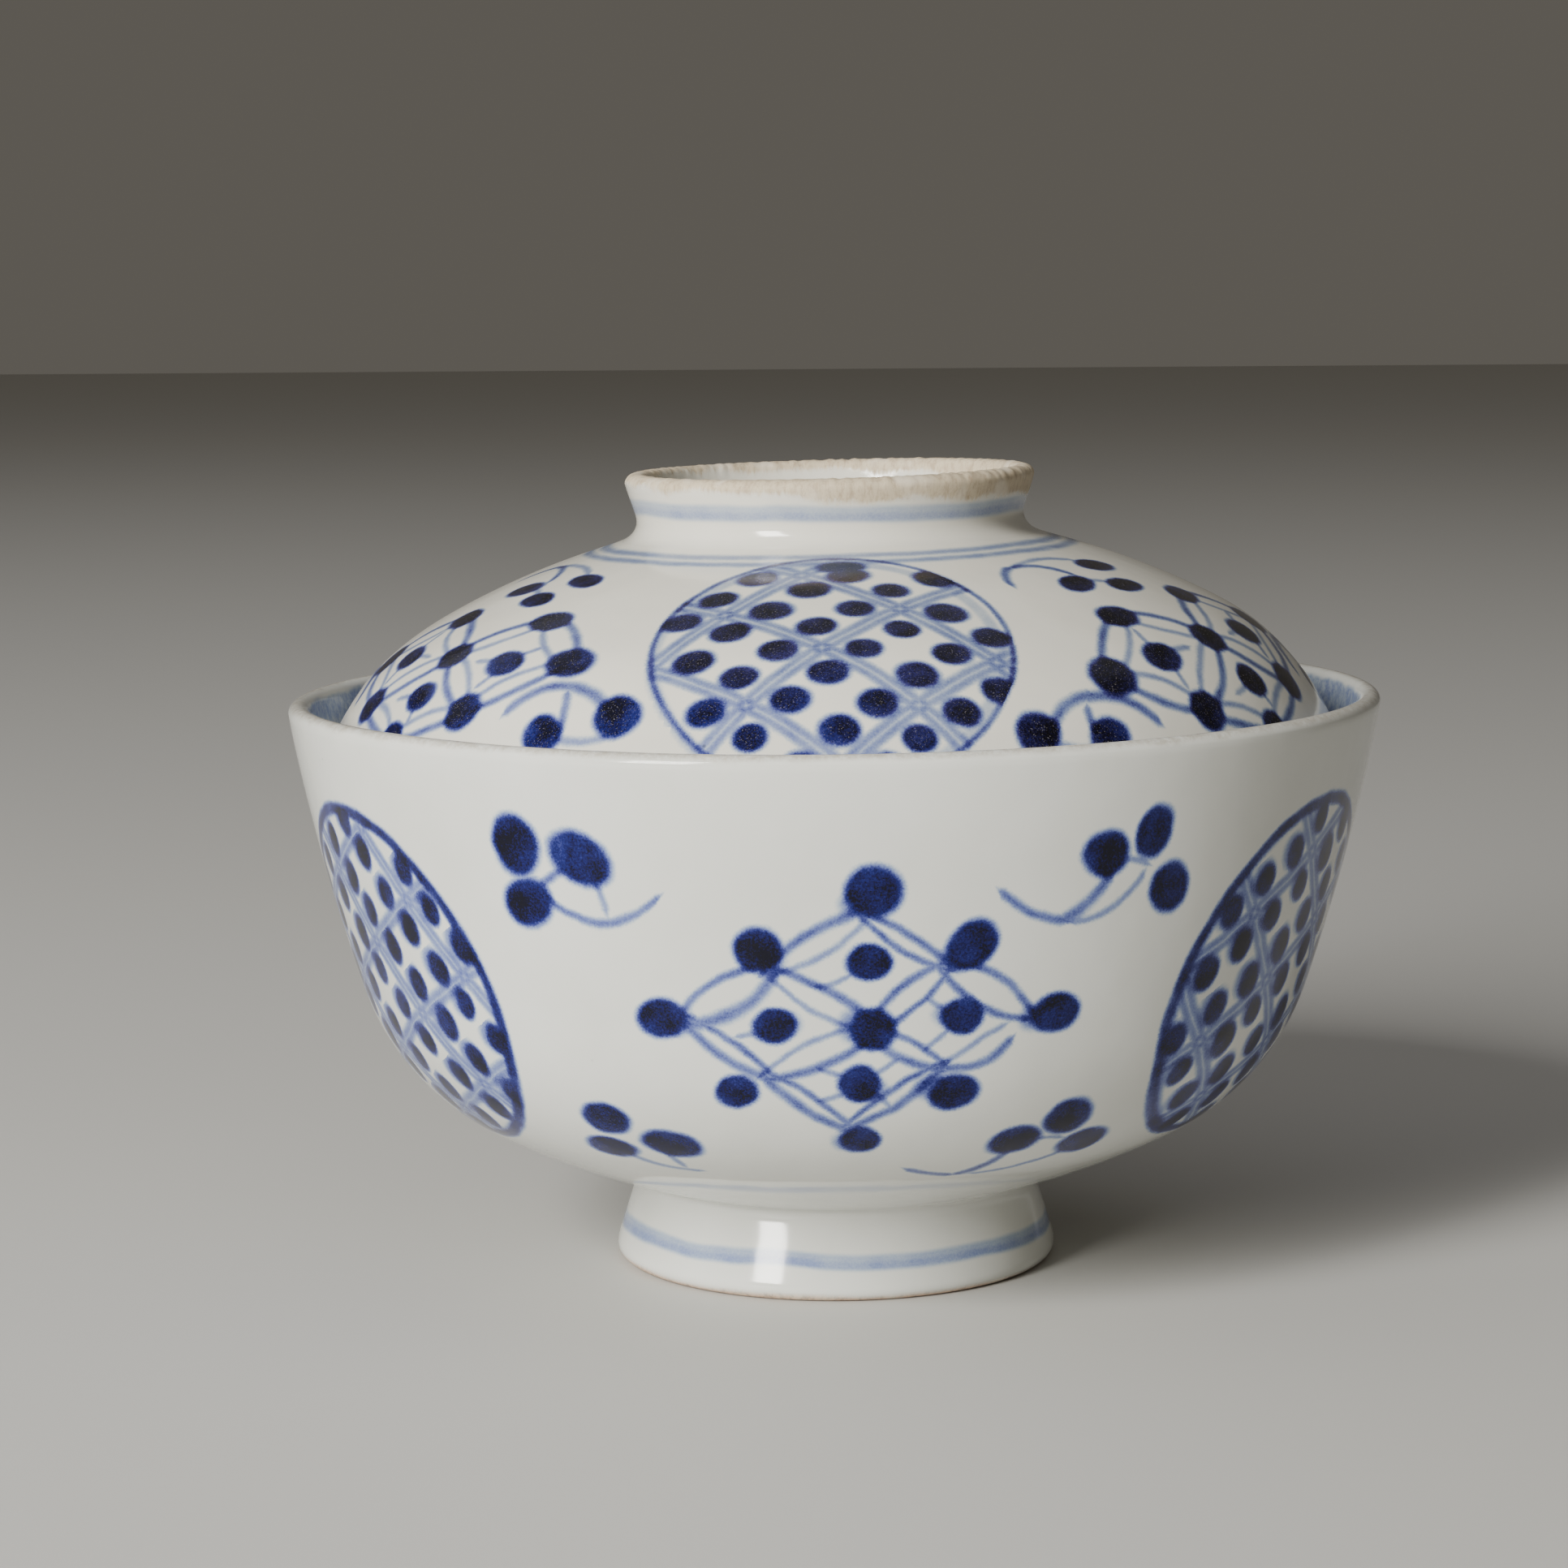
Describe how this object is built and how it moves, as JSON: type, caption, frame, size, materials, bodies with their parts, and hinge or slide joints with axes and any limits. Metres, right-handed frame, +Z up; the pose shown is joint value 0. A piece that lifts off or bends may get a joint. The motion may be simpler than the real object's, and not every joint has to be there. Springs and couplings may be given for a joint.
{
  "type": "lidded rice bowl",
  "caption": "Round blue-and-white porcelain rice bowl on a foot ring, with a domed lid that drops inside the rim and lifts off by its ring.",
  "frame": {"origin": "middle of the foot ring's flat base, on the table", "axes": "+Z up along the axis of the bowl and the lid; -Y is the front, where the bowl's painted lozenge faces"},
  "size_m": [0.1202, 0.1202, 0.0879],
  "materials": {
    "bowl_porcelain": "glossy slightly grey-green white glaze over cobalt brushwork, unglazed base on the foot ring",
    "lid_porcelain": "glossy slightly warm white glaze over cobalt brushwork, unglazed top on the ring"
  },
  "bodies": {
    "bowl": {"bowl": "bowl_porcelain"},
    "lid": {"lid": "lid_porcelain"}
  },
  "joints": [
    {"name": "lid_lift", "type": "slide", "parent": "bowl", "child": "lid", "axis": [0, 0, 1], "range_m": [0, 0.08]}
  ]
}
